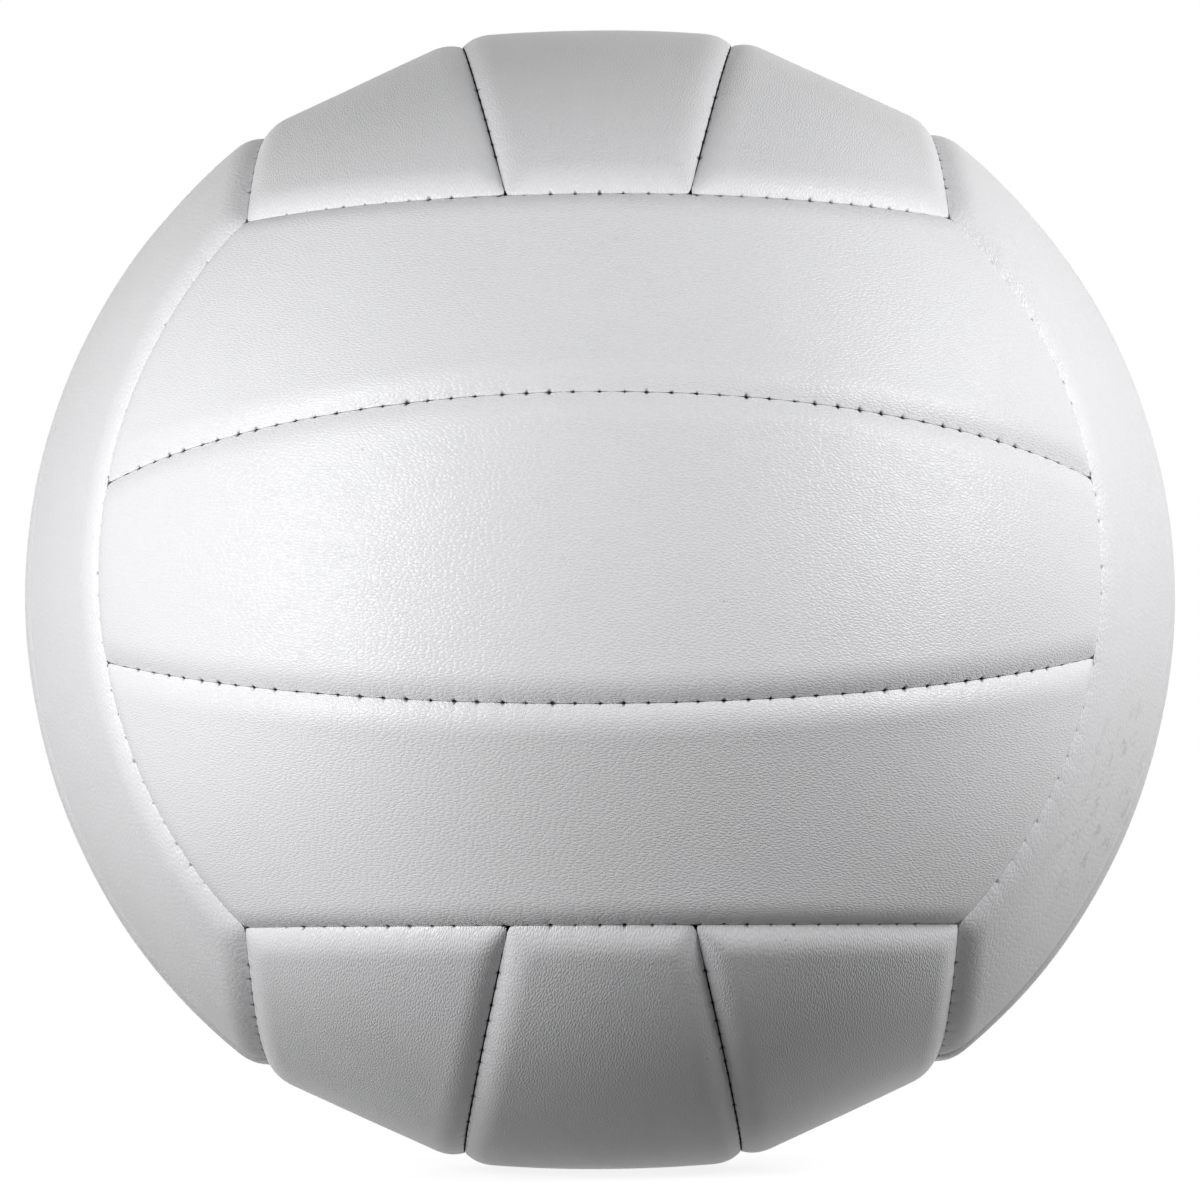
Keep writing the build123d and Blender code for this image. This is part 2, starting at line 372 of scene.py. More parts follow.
def stripShell(kind, shape, axes, seed, hole=None, parted=0.0):
    # one closed strip: outer lattice, rings over the edge, inner lattice, and a hole's rings
    strip = strips[kind]
    cells, rim = shape["cells"], shape["rim"]
    points, places, edge, holes, quads = [], [], [], [], []

    def lay(along, across, depth, inset, floor=False, pricked=0):
        # direction * (crowned radius - depth + dents), or * the flange's radius on the floor
        direction, radius = crownSurface(strip, along, across)
        place = np.stack([along * halfLength(strip, across), across * halfWidth(strip, along)], -1)
        uneven = dents(place, seed, shape["uneven"])
        radius = np.full_like(radius, flangeRadius) if floor else radius - depth + uneven
        first = sum(len(part) for part in points)
        points.append((direction * radius[..., None]).reshape(-1, 3))
        places.append(place.reshape(-1, 2))
        edge.append(np.broadcast_to(inset, along.shape).ravel())
        holes.append(np.broadcast_to(pricked, along.shape).ravel())
        return first

    # lattice inside the rim, less the block that a hole takes
    sigma, tau = np.meshgrid(*(np.linspace(-1, 1, number + 1) for number in cells), indexing="ij")
    along = sigma * (1 - rim / halfLength(strip, tau))
    across = tau * (1 - rim / halfWidth(strip, along))
    lengthLeft = (1 - np.abs(along)) * halfLength(strip, across)
    widthLeft = (1 - np.abs(across)) * halfWidth(strip, along)
    reach = np.minimum(lengthLeft, widthLeft)
    keep = np.ones(cells, bool)
    if hole:
        i, j = cells[0] // 2, cells[1] // 2
        block = hole["block"]
        keep[i - block[0]:i + block[0], j - block[1]:j + block[1]] = False
    firstOuter = lay(along, across, shape["outerDepth"], reach)
    quads.append(gridFaces(cells, firstOuter)[keep])

    # rings over the edge, drawn in at the stitches
    loop = sewnLoop(strip, shape, axes)
    distance, drawn = loop["distance"], loop["drawn"]
    notch = drawn * np.clip(1 - np.abs(distance) / stitching["halfWidth"], 0, 1)
    sink = drawn * np.exp(-(distance / stitching["sinkReach"]) ** 2)
    wave = 0.5 + 0.5 * np.cos(2 * math.pi * distance / stitching["pitch"])
    onStripSeam = ~loop["onEnd"] & ((loop["dirT"] < 0) | (kind == "middle"))
    apart = parted * np.where(onStripSeam, np.clip(loop["room"] / stitching["partedFade"], 0, 1), 0)
    firsts = []
    for ring in shape["rings"]:
        drawnIn = stitching["pull"] * notch + stitching["wave"] * wave + apart
        inset = ring["inset"] + ring["pull"] * drawnIn
        away = np.hypot(distance, ring["inset"] - stitching["holeInset"])
        pricked = np.clip((stitching["hole"] * drawn - away) / stitching["holeSoft"], 0, 1) * ring["pricked"]
        depth = ring["depth"] + stitching["sink"] * ring["sink"] * sink + stitching["holeDepth"] * pricked
        s, t = ringPlace(strip, rim, loop, inset, ring.get("square", shape["square"]))
        firsts.append(lay(s, t, depth, inset, ring["floor"], pricked))
    count = len(distance)
    here = np.arange(count)
    there = (here + 1) % count
    for low, high in zip(firsts[:-1], firsts[1:]):
        quads.append(np.stack([high + here, high + there, low + there, low + here], -1))
    firstInner = lay(along, across, shape["innerDepth"], reach)
    quads.append(gridFaces(cells, firstInner)[keep][:, ::-1])
    fans = rimFans(shape, count, ((firsts[0], firstOuter, 1), (firsts[-1], firstInner, -1)))

    # rings down through a round hole in the middle
    if hole:
        around = holeLoop(cells, hole["block"])
        place = places[0][around]
        bearing = np.arctan2(place[:, 1], place[:, 0])
        zero = np.zeros(1)
        lengthHere, widthHere = halfLength(strip, zero)[0], halfWidth(strip, zero)[0]
        chain = [firstOuter + around]
        for radius, depth in hole["profile"]:
            x, y = radius * np.cos(bearing), radius * np.sin(bearing)
            first = lay(x / lengthHere, y / widthHere, depth, rim)
            chain.append(first + np.arange(len(around)))
        chain.append(firstInner + around)
        for outer, inner in zip(chain[:-1], chain[1:]):
            quads.append(np.stack([outer, np.roll(outer, -1), np.roll(inner, -1), inner], -1))

    # seamDistance is read by the leather for its painted shade at the bottom of each seam
    return {
        "points": np.concatenate(points) @ axes,
        "places": np.concatenate(places),
        "groups": [np.concatenate([part.reshape(-1, 4) for part in quads])] + fans,
        # the needle holes' share, read by the leather for their painted shade
        "marks": {"seamDistance": np.concatenate(edge), "needleHoleShade": np.concatenate(holes)},
    }


def newObject(name, data):
    # at the origin, unturned
    item = bpy.data.objects.new(name, data)
    bpy.context.scene.collection.objects.link(item)
    return item


def makeMesh(name, points, places, groups, marks=None):
    # points and polygons of several sizes go in as whole arrays
    mesh = bpy.data.meshes.new(name)
    sizes = np.concatenate([np.full(len(group), group.shape[1]) for group in groups])
    corners = np.concatenate([group.ravel() for group in groups]).astype(np.int32)
    mesh.vertices.add(len(points))
    mesh.vertices.foreach_set("co", points.astype(np.float32).ravel())
    mesh.loops.add(len(corners))
    mesh.loops.foreach_set("vertex_index", corners)
    mesh.polygons.add(len(sizes))
    mesh.polygons.foreach_set("loop_start", (np.cumsum(sizes) - sizes).astype(np.int32))
    mesh.update(calc_edges=True)
    layer = mesh.uv_layers.new(name="strip")
    layer.uv.foreach_set("vector", places[corners].astype(np.float32).ravel())
    for label, values in (marks or {}).items():
        attribute = mesh.attributes.new(label, "FLOAT", "POINT")
        attribute.data.foreach_set("value", values.astype(np.float32))
    mesh.validate()
    mesh.shade_smooth()
    return newObject(name, mesh)


# camera at the photograph's place: a little under the middle of the ball, looking slightly up
view = {
    "distance": 0.740, "rise": math.radians(-4.8), "roll": math.radians(-0.3),
    "lens": 119.1, "sensor": 36,  # millimetres
}
lensData = bpy.data.cameras.new("camera")
lensData.sensor_width = view["sensor"]
lensData.lens = view["lens"]
camera = newObject("camera", lensData)
camera.location = Vector((0, -math.cos(view["rise"]), math.sin(view["rise"]))) * view["distance"]
aim = (-camera.location).to_track_quat("-Z", "Y").to_matrix().to_4x4()
camera.matrix_world = Matrix.Translation(camera.location) @ aim @ Matrix.Rotation(view["roll"], 4, "Z")
bpy.context.scene.camera = camera
print("camera:", view["distance"], "m from the ball's middle")

# cover panels: a crowned face that rolls down gently to its seams, and a turned-in edge below
cover = {
    "cells": (84, 20), "fine": 6, "arc": 12, "gather": 0.65,
    "rim": 0.0060,  # where the face starts to fall away
    "fall": 0.0019, "fallPower": 2.4,
    "fallShares": (0.10, 0.24, 0.38, 0.51, 0.62, 0.72, 0.81, 0.89, 0.94, 0.968),  # rings across the rim
    "round": 2.0, "square": 14.0, "squarePower": 4,  # corner exponents where the fall starts and at the edge
    "sinkPower": 2,  # how late across the rim the stitches' sinking starts
    "roll": 0.00006, "rollRings": 6,  # width of the tight bend at the very edge
    "rollPull": 0.35,  # share of the stitches' pull where that bend starts
    "gap": 0.00001,  # from the seam line to the edge
    "tuck": ((0.0002, 0.0006, 0.6), (0.0006, 0.0010, 0), (0.0006, 0.0020, 0)),  # inset, depth below, pull
    "tuckFoot": 0.0003,  # inset where the turned-in edge comes down
    "thickness": 0.0026, "flange": 0.0017,
    "uneven": 0.00012, "seed": 100,
    "grainStep": (0.31, 0.17),  # from panel to panel, so that no two share their grain
    "partedFaces": ("top", "bottom"),
}


def coverRings():
    # fall * (1 - inset / rim)^power down to the bend, a round bend to upright, then the hidden turned-in edge
    rings = []
    rim, fall, power = cover["rim"], cover["fall"], cover["fallPower"]
    for share in cover["fallShares"]:
        square = cover["round"] + (cover["square"] - cover["round"]) * share ** cover["squarePower"]
        sink = share ** cover["sinkPower"]
        rings.append(edgeRing(rim * (1 - share), fall * share**power, sink=sink, square=square, pricked=1))
    share = 1 - cover["roll"] / rim
    start = math.atan(fall * power / rim * share ** (power - 1))
    radius = (cover["roll"] - cover["gap"]) / (1 - math.sin(start))
    for part in np.linspace(0, 1, cover["rollRings"]):
        angle = start + (math.pi / 2 - start) * part
        inset = cover["gap"] + radius * (1 - math.sin(angle))
        depth = fall * share**power + radius * (math.cos(start) - math.cos(angle))
        pull = cover["rollPull"] + (1 - cover["rollPull"]) * part
        rings.append(edgeRing(inset, depth, pull, sink=1, pricked=1))
    for inset, lower, pull in cover["tuck"]:
        rings.append(edgeRing(inset, depth + lower, pull))
    rings.append(edgeRing(cover["tuckFoot"], 0, floor=True))
    rings.append(edgeRing(cover["flange"], 0, floor=True))
    rings.append(edgeRing(cover["flange"], cover["thickness"]))
    return rings


cover.update(rings=coverRings(), outerDepth=0.0, innerDepth=cover["thickness"])
valveHole = {
    "block": (3, 3),  # cells cleared on each side of the middle
    "profile": (  # radius, depth
        (0.0058, 0.0), (0.0051, 0.00006), (0.0047, 0.0003),
        (0.00452, 0.0007), (0.0045, 0.0014), (0.0045, cover["thickness"]),
    ),
}
panels = []
for strip in ballStrips():
    node = strip["name"] + "_panel"
    hole = valveHole if node == "back_middle_panel" else None
    parted = stitching["parted"] if strip["face"] in cover["partedFaces"] else 0.0
    shell = stripShell(strip["kind"], cover, strip["axes"], cover["seed"] + strip["number"], hole, parted)
    places = shell["places"] + np.array(cover["grainStep"]) * strip["number"]
    piece = makeMesh(strip["name"] + "_cover", shell["points"], places, shell["groups"], shell["marks"])
    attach(piece, "root")
    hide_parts(node)
    panels.append(piece)
print("cover panels:", len(panels), "with", sum(len(p.data.polygons) for p in panels), "faces")

# linings: plain woven sheets behind the panels
cloth = {
    "cells": (60, 14), "fine": 1, "arc": 3, "square": 2, "gather": 0.0, "uneven": 0.0, "seed": 7,
    "rim": 0.0056, "outerDepth": 0.0027, "innerDepth": 0.0033,
    "inset": 0.0021,  # from the seam line to the cut edge
    "holeRadius": 0.0049,  # round the valve
}
clothDepths = (cloth["outerDepth"], cloth["innerDepth"])
cloth["rings"] = [edgeRing(cloth["inset"], depth) for depth in clothDepths]
clothHole = {"block": (2, 2), "profile": [(cloth["holeRadius"], depth) for depth in clothDepths]}
linings = []
for strip in ballStrips():
    node = strip["name"] + "_lining"
    hole = clothHole if node == "back_middle_lining" else None
    shell = stripShell(strip["kind"], cloth, strip["axes"], cloth["seed"], hole)
    piece = makeMesh(strip["name"] + "_cloth", shell["points"], shell["places"], shell["groups"])
    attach(piece, "root")
    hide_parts(node)
    linings.append(piece)
print("linings:", len(linings))

# sewing threads: two weave from side to side of each groove and come up at the stitches
thread = {
    "radius": 0.00022, "sides": 6, "step": 0.0007,
    "depth": 0.0034, "rise": 0.0010, "risePower": 8, "sway": 0.00026,
    "endGap": 0.0015,  # from the seam's end to the thread's
}


def threadTube(seam, axes, phase):
    # round tube: sway * cos(pi * stitch) across and depth - rise * cos(pi * stitch)^power down
    count = round(seamLength(seam) / stitching["pitch"])
    steps = int(seamLength(seam) / thread["step"])
    end = 1 - 2 * thread["endGap"] / seamLength(seam)
    along = np.linspace(-end, end, steps)
    stitch = (along + 1) / 2 * count - 0.5
    out = seamPoint(seam, along)
    tangent = np.gradient(out, axis=0)
    tangent /= np.linalg.norm(tangent, axis=1)[:, None]
    side = np.cross(out, tangent)
    swing = np.cos(math.pi * stitch) * phase
    depth = thread["depth"] - thread["rise"] * np.cos(math.pi * stitch) ** thread["risePower"]
    line = out * (seamRadius - depth)[:, None] + side * (thread["sway"] * swing)[:, None]
    heading = np.gradient(line, axis=0)
    heading /= np.linalg.norm(heading, axis=1)[:, None]
    side = np.cross(out, heading)
    side /= np.linalg.norm(side, axis=1)[:, None]
    up = np.cross(heading, side)
    sides = thread["sides"]
    around = np.arange(sides) * 2 * math.pi / sides
    spoke = np.cos(around)[None, :, None] * side[:, None] + np.sin(around)[None, :, None] * up[:, None]
    points = (line[:, None] + thread["radius"] * spoke).reshape(-1, 3)
    ring = np.arange(sides)
    following = (ring + 1) % sides
    base = np.arange(steps - 1)[:, None] * sides
    quads = np.stack([base + ring, base + following, base + sides + following, base + sides + ring], -1)
    caps = np.stack([ring[::-1], (steps - 1) * sides + ring])
    run = along * seamLength(seam) / 2
    places = np.stack([np.repeat(run, sides), np.tile(around * thread["radius"], steps)], -1)
    return points @ axes, places, quads.reshape(-1, 4), caps


def threadPiece(name, node, seams, axes):
    # both threads of each seam, in one mesh
    points, places, groups, first = [], [], [], 0
    for seam in seams:
        for phase in (1, -1):
            tube, tubePlaces, quads, caps = threadTube(seam, axes, phase)
            points.append(tube)
            places.append(tubePlaces)
            groups += [quads + first, caps + first]
            first += len(tube)
    piece = makeMesh(name, np.concatenate(points), np.concatenate(places), groups)
    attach(piece, "root")
    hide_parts(node)
    return piece


threads = []
for face, (_, _, _, joined) in faces.items():
    axes = faceAxes(face)
    threads.append(threadPiece(f"{face}_strip_stitches", f"{face}_strip_threads", stripSeams, axes))
    for neighbour, seam in zip(joined, faceSeams):
        node = f"{face}_{neighbour}_thread"
        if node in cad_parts:
            threads.append(threadPiece(f"{face}_{neighbour}_stitches", node, [seam], axes))
print("threads:", len(threads))


# finishes
def nodeGroup(name, inputs, outputs):
    # an empty group with its sockets, and its input and output nodes
    group = bpy.data.node_groups.new(name, "ShaderNodeTree")
    for label, kind, value in inputs:
        socket = group.interface.new_socket(label, in_out="INPUT", socket_type=kind)
        if value is not None:
            socket.default_value = value
    for label, kind in outputs:
        group.interface.new_socket(label, in_out="OUTPUT", socket_type=kind)
    return group, group.nodes.new("NodeGroupInput"), group.nodes.new("NodeGroupOutput")


def addNode(tree, kind, values=None, links=None, **settings):
    # values and links are by socket name or number
    node = tree.nodes.new(kind)
    for key, value in settings.items():
        setattr(node, key, value)
    for key, value in (values or {}).items():
        node.inputs[key].default_value = value
    for key, source in (links or {}).items():
        tree.links.new(source, node.inputs[key])
    return node


def mathNode(tree, operation, first, second=None):
    # first and second are numbers or sockets
    node = tree.nodes.new("ShaderNodeMath")
    node.operation = operation
    for number, value in enumerate((first, second)):
        if value is None:
            continue
        if isinstance(value, (int, float)):
            node.inputs[number].default_value = value
        else:
            tree.links.new(value, node.inputs[number])
    return node.outputs[0]


def rangeNode(tree, source, values, **settings):
    # source carried from one range to another
    return addNode(tree, "ShaderNodeMapRange", values, {"Value": source}, **settings).outputs[0]


mixSockets = {"factor": 0, "first": 6, "second": 7, "result": 2}  # of a Mix node for colours


def mixColour(tree, factor, first, second):
    # first at 0, second at 1; each is a colour or a socket
    node = addNode(tree, "ShaderNodeMix", data_type="RGBA")
    tree.links.new(factor, node.inputs[mixSockets["factor"]])
    for number, value in ((mixSockets["first"], first), (mixSockets["second"], second)):
        if isinstance(value, tuple):
            node.inputs[number].default_value = (*value, 1)
        else:
            tree.links.new(value, node.inputs[number])
    return node.outputs[mixSockets["result"]]


# places in the grain are counted in cells
grainShape = {
    "swayScale": 0.6, "swayDetail": 2.0, "sway": (0.9, 0.9, 0.0),  # bends the rows of cells
    "creaseWidth": 0.34,
    "fineScale": 2.4, "fineDetail": 3.0, "fineRoughness": 0.6, "fineHeight": 0.5,
    "patchScale": 0.16, "patchDetail": 2.0, "patchFrom": 0.35, "patchTo": 0.65, "patchLeast": 0.75,
}


def buildGrain():
    # creased skin: stretched cells with sunk lines between them, broken up by finer noise
    group, come, go = nodeGroup(
        "leatherGrain",
        [("Place", "NodeSocketVector", None), ("Size", "NodeSocketFloat", 0.001),
         ("Stretch", "NodeSocketFloat", 2.5), ("Slant", "NodeSocketFloat", 0.0)],
        [("Height", "NodeSocketFloat"), ("Tone", "NodeSocketFloat")])
    turned = addNode(group, "ShaderNodeVectorRotate", rotation_type="Z_AXIS",
                     links={"Vector": come.outputs["Place"], "Angle": come.outputs["Slant"]})
    cut = addNode(group, "ShaderNodeSeparateXYZ", links={0: turned.outputs[0]})
    longSize = mathNode(group, "MULTIPLY", come.outputs["Size"], come.outputs["Stretch"])
    x = mathNode(group, "DIVIDE", cut.outputs[0], longSize)
    y = mathNode(group, "DIVIDE", cut.outputs[1], come.outputs["Size"])
    place = addNode(group, "ShaderNodeCombineXYZ", links={0: x, 1: y}).outputs[0]
    sway = addNode(group, "ShaderNodeTexNoise",
                   {"Scale": grainShape["swayScale"], "Detail": grainShape["swayDetail"]}, {"Vector": place})
    shifted = addNode(group, "ShaderNodeVectorMath", {1: grainShape["sway"]},
                      {0: sway.outputs["Color"], 2: place}, operation="MULTIPLY_ADD").outputs[0]
    cells = addNode(group, "ShaderNodeTexVoronoi", {"Scale": 1.0, "Randomness": 1.0}, {"Vector": shifted},
                    voronoi_dimensions="2D", feature="DISTANCE_TO_EDGE")
    crease = rangeNode(group, cells.outputs["Distance"],
                       {"From Min": 0.0, "From Max": grainShape["creaseWidth"]},
                       interpolation_type="SMOOTHSTEP")
    fineNoise = addNode(group, "ShaderNodeTexNoise",
                        {"Scale": grainShape["fineScale"], "Detail": grainShape["fineDetail"],
                         "Roughness": grainShape["fineRoughness"]}, {"Vector": shifted})
    patch = addNode(group, "ShaderNodeTexNoise",
                    {"Scale": grainShape["patchScale"], "Detail": grainShape["patchDetail"]},
                    {"Vector": place})
    strength = rangeNode(group, patch.outputs["Fac"],
                         {"From Min": grainShape["patchFrom"], "From Max": grainShape["patchTo"],
                          "To Min": grainShape["patchLeast"], "To Max": 1.0})
    lines = mathNode(group, "MULTIPLY", crease, strength)
    fine = mathNode(group, "MULTIPLY", fineNoise.outputs["Fac"], grainShape["fineHeight"])
    group.links.new(mathNode(group, "ADD", lines, fine), go.inputs["Height"])
    group.links.new(crease, go.inputs["Tone"])
    return group


markShape = {"detail": 5.0, "roughness": 0.62, "distortion": 0.4, "from": 0.42, "to": 0.72}


def buildHandling():
    # cloudy marks left by hands and floors, from 0 to 1
    group, come, go = nodeGroup(
        "handlingMarks",
        [("Place", "NodeSocketVector", None), ("Size", "NodeSocketFloat", 0.03)],
        [("Mask", "NodeSocketFloat")])
    scale = mathNode(group, "DIVIDE", 1.0, come.outputs["Size"])
    cloud = addNode(group, "ShaderNodeTexNoise",
                    {"Detail": markShape["detail"], "Roughness": markShape["roughness"],
                     "Distortion": markShape["distortion"]},
                    {"Vector": come.outputs["Place"], "Scale": scale})
    mask = rangeNode(group, cloud.outputs["Fac"],
                     {"From Min": markShape["from"], "From Max": markShape["to"]},
                     interpolation_type="SMOOTHSTEP")
    group.links.new(mask, go.inputs["Mask"])
    return group


weaveShape = {"fuzzScale": 3.0, "fuzzDetail": 3.0, "fuzzRoughness": 0.1, "bump": 0.5, "bumpDistance": 0.0002}


def buildWeave():
    # plain weave: 0.5 + 0.5 * sin(x) * sin(y), two crossed rows of threads over and under each other
    group, come, go = nodeGroup(
        "plainWeave",
        [("Place", "NodeSocketVector", None), ("Pitch", "NodeSocketFloat", 0.0006)],
        [("Height", "NodeSocketFloat"), ("Tone", "NodeSocketFloat")])
    scaled = addNode(group, "ShaderNodeVectorMath", links={0: come.outputs["Place"]}, operation="SCALE")
    group.links.new(mathNode(group, "DIVIDE", math.pi, come.outputs["Pitch"]), scaled.inputs["Scale"])
    cut = addNode(group, "ShaderNodeSeparateXYZ", links={0: scaled.outputs[0]})
    warp = mathNode(group, "SINE", cut.outputs[0])
    weft = mathNode(group, "SINE", cut.outputs[1])
    over = mathNode(group, "MULTIPLY", warp, weft)
    height = mathNode(group, "ADD", mathNode(group, "MULTIPLY", over, 0.5), 0.5)
    fuzz = addNode(group, "ShaderNodeTexNoise",
                   {"Scale": weaveShape["fuzzScale"], "Detail": weaveShape["fuzzDetail"]},
                   {"Vector": scaled.outputs[0]})
    group.links.new(height, go.inputs["Height"])
    group.links.new(fuzz.outputs["Fac"], go.inputs["Tone"])
    return group


grain, handling, weave = buildGrain(), buildHandling(), buildWeave()


def newMaterial(name):
    # the material, its node tree and its Principled shader
    material = bpy.data.materials.new(name)
    material.use_nodes = True
    tree = material.node_tree
    return material, tree, tree.nodes["Principled BSDF"]


def bumpFrom(tree, shader, height, strength, distance):
    # height pushes the shader's normal about
    bump = addNode(tree, "ShaderNodeBump", {"Strength": strength, "Distance": distance}, {"Height": height})
    tree.links.new(bump.outputs[0], shader.inputs["Normal"])


leather = {
    "colour": (0.80, 0.80, 0.815), "roughness": 0.33, "gloss": 0.32,
    "grainSize": 0.00050, "stretch": 2.3, "slant": 0.15, "creaseRoughness": 0.05,
    "bump": 0.46, "bumpDistance": 0.00012,
    "worn": (0.66, 0.66, 0.665), "markSize": 0.035, "markColour": 0.12, "markRoughness": 0.03,
    # painted shade: grey laid into the leather at the bottom of each seam's crease
    "groove": (0.42, 0.42, 0.43), "grooveTop": 0.00016, "grooveBottom": 0.00002, "grooveColour": 0.2,
    # painted shade in the needle holes: a near-black grey laid on the leather where the stitches prick it
    "hole": (0.13, 0.13, 0.13),
    "dirt": (0.30, 0.30, 0.30),
    "speckCell": 0.013, "speckSize": 0.00028, "speckCoreShare": 0.5, "speckColour": 0.7,
    "scuffPlace": (0.088, -0.041, -0.040), "scuffReach": 0.026, "scuffCoreShare": 0.3,
    "scuffSize": 0.004, "scuffDetail": 4.0, "scuffBreak": 0.7,
    "scuffFrom": 0.53, "scuffTo": 0.63, "scuffColour": 0.34,
}


def leatherMaterial():
    # white leather: grain along the strips, worn clouds, painted shade at the bottom of the seams and in the
    # needle holes, specks and scuffs
    material, tree, shader = newMaterial("coverLeather")
    strip = addNode(tree, "ShaderNodeUVMap", uv_map="strip")
    place = addNode(tree, "ShaderNodeTexCoord").outputs["Object"]
    skin = addNode(tree, "ShaderNodeGroup",
                   {"Size": leather["grainSize"], "Stretch": leather["stretch"], "Slant": leather["slant"]},
                   {"Place": strip.outputs[0]}, node_tree=grain)
    marks = addNode(tree, "ShaderNodeGroup", {"Size": leather["markSize"]},
                    {"Place": place}, node_tree=handling)
    # painted shade at the bottom of each seam's crease: the leather turns grey as its edge comes within about
    # 0.16 mm of the seam line
    edge = addNode(tree, "ShaderNodeAttribute", attribute_name="seamDistance")
    groove = rangeNode(tree, edge.outputs["Fac"],
                       {"From Min": leather["grooveTop"], "From Max": leather["grooveBottom"]},
                       interpolation_type="SMOOTHSTEP")
    cloudy = mathNode(tree, "MULTIPLY", marks.outputs["Mask"], leather["markColour"])
    colour = mixColour(tree, cloudy, leather["colour"], leather["worn"])
    shaded = mathNode(tree, "MULTIPLY", groove, leather["grooveColour"])
    colour = mixColour(tree, shaded, colour, leather["groove"])
    # specks: round spots where a scattered point lies in the surface
    cell, size = leather["speckCell"], leather["speckSize"]
    spots = addNode(tree, "ShaderNodeTexVoronoi", {"Scale": 1 / cell, "Randomness": 1.0}, {"Vector": place})
    specks = rangeNode(tree, spots.outputs["Distance"],
                       {"From Min": size / cell, "From Max": leather["speckCoreShare"] * size / cell,
                        "To Max": leather["speckColour"]})
    # scuffs: broken noise that dies out round one place low on the right
    reach = leather["scuffReach"]
    far = addNode(tree, "ShaderNodeVectorMath", {1: leather["scuffPlace"]}, {0: place}, operation="DISTANCE")
    nearby = rangeNode(tree, far.outputs["Value"],
                       {"From Min": reach, "From Max": leather["scuffCoreShare"] * reach},
                       interpolation_type="SMOOTHSTEP")
    rubbed = addNode(tree, "ShaderNodeTexNoise",
                     {"Scale": 1 / leather["scuffSize"], "Detail": leather["scuffDetail"],
                      "Roughness": leather["scuffBreak"]}, {"Vector": place})
    scuffs = rangeNode(tree, rubbed.outputs["Fac"],
                       {"From Min": leather["scuffFrom"], "From Max": leather["scuffTo"],
                        "To Max": leather["scuffColour"]}, interpolation_type="SMOOTHSTEP")
    dirt = mathNode(tree, "MAXIMUM", specks, mathNode(tree, "MULTIPLY", scuffs, nearby))
    colour = mixColour(tree, dirt, colour, leather["dirt"])
    # painted shade: the needle holes are darkened by this grey
    pricked = addNode(tree, "ShaderNodeAttribute", attribute_name="needleHoleShade")
    colour = mixColour(tree, pricked.outputs["Fac"], colour, leather["hole"])
    tree.links.new(colour, shader.inputs["Base Color"])
    shader.inputs["Specular IOR Level"].default_value = leather["gloss"]
    clouded = mathNode(tree, "MULTIPLY", marks.outputs["Mask"], leather["markRoughness"])
    rough = mathNode(tree, "ADD", clouded, leather["roughness"])
    smoother = mathNode(tree, "MULTIPLY", skin.outputs["Tone"], leather["creaseRoughness"])
    tree.links.new(mathNode(tree, "SUBTRACT", rough, smoother), shader.inputs["Roughness"])
    bumpFrom(tree, shader, skin.outputs["Height"], leather["bump"], leather["bumpDistance"])
    return material


# each fabric's second colour is painted shade in the hollows of its weave
fabric = {
    "lining": {"colour": (0.60, 0.57, 0.50), "hollowShade": (0.42, 0.39, 0.33), "pitch": 0.0007, "roughness": 0.85},
    # the thread is near-black as painted shade: it stands for the shade in the seams and needle holes
    "thread": {"colour": (0.10, 0.10, 0.105), "hollowShade": (0.04, 0.04, 0.042), "pitch": 0.0005, "roughness": 0.6},
    "patch": {"colour": (0.48, 0.46, 0.40), "hollowShade": (0.32, 0.30, 0.25), "pitch": 0.0009, "roughness": 0.8},
}


def fabricMaterial(name, useStrip):
    # woven cloth with painted shade between its threads; the weave follows the strip or the object
    values = fabric[name]
    material, tree, shader = newMaterial(name + "Cloth")
    if useStrip:
        place = addNode(tree, "ShaderNodeUVMap", uv_map="strip").outputs[0]
    else:
        place = addNode(tree, "ShaderNodeTexCoord").outputs["Object"]
    woven = addNode(tree, "ShaderNodeGroup", {"Pitch": values["pitch"]}, {"Place": place}, node_tree=weave)
    # painted shade: the low parts of the weave take the darker colour
    colour = mixColour(tree, woven.outputs["Height"], values["hollowShade"], values["colour"])
    tree.links.new(colour, shader.inputs["Base Color"])
    fuzzy = mathNode(tree, "MULTIPLY", woven.outputs["Tone"], weaveShape["fuzzRoughness"])
    tree.links.new(mathNode(tree, "ADD", fuzzy, values["roughness"]), shader.inputs["Roughness"])
    bumpFrom(tree, shader, woven.outputs["Height"], weaveShape["bump"], weaveShape["bumpDistance"])
    return material


rubber = {
    "bladder": {"colour": (0.035, 0.035, 0.038), "pale": (0.075, 0.074, 0.072),
                "roughness": 0.5, "grain": 0.0012},
    "valve": {"colour": (0.045, 0.045, 0.048), "pale": (0.09, 0.09, 0.09),
              "roughness": 0.55, "grain": 0.0005},
    "core": {"colour": (0.075, 0.075, 0.08), "pale": (0.12, 0.12, 0.12),
             "roughness": 0.6, "grain": 0.0004},
}
rubberSkin = {
    "stretch": 1.0, "bump": 0.15, "bumpDistance": 0.0001,
    "markSize": 0.012, "markColour": 0.6, "markRoughness": 0.12,
}


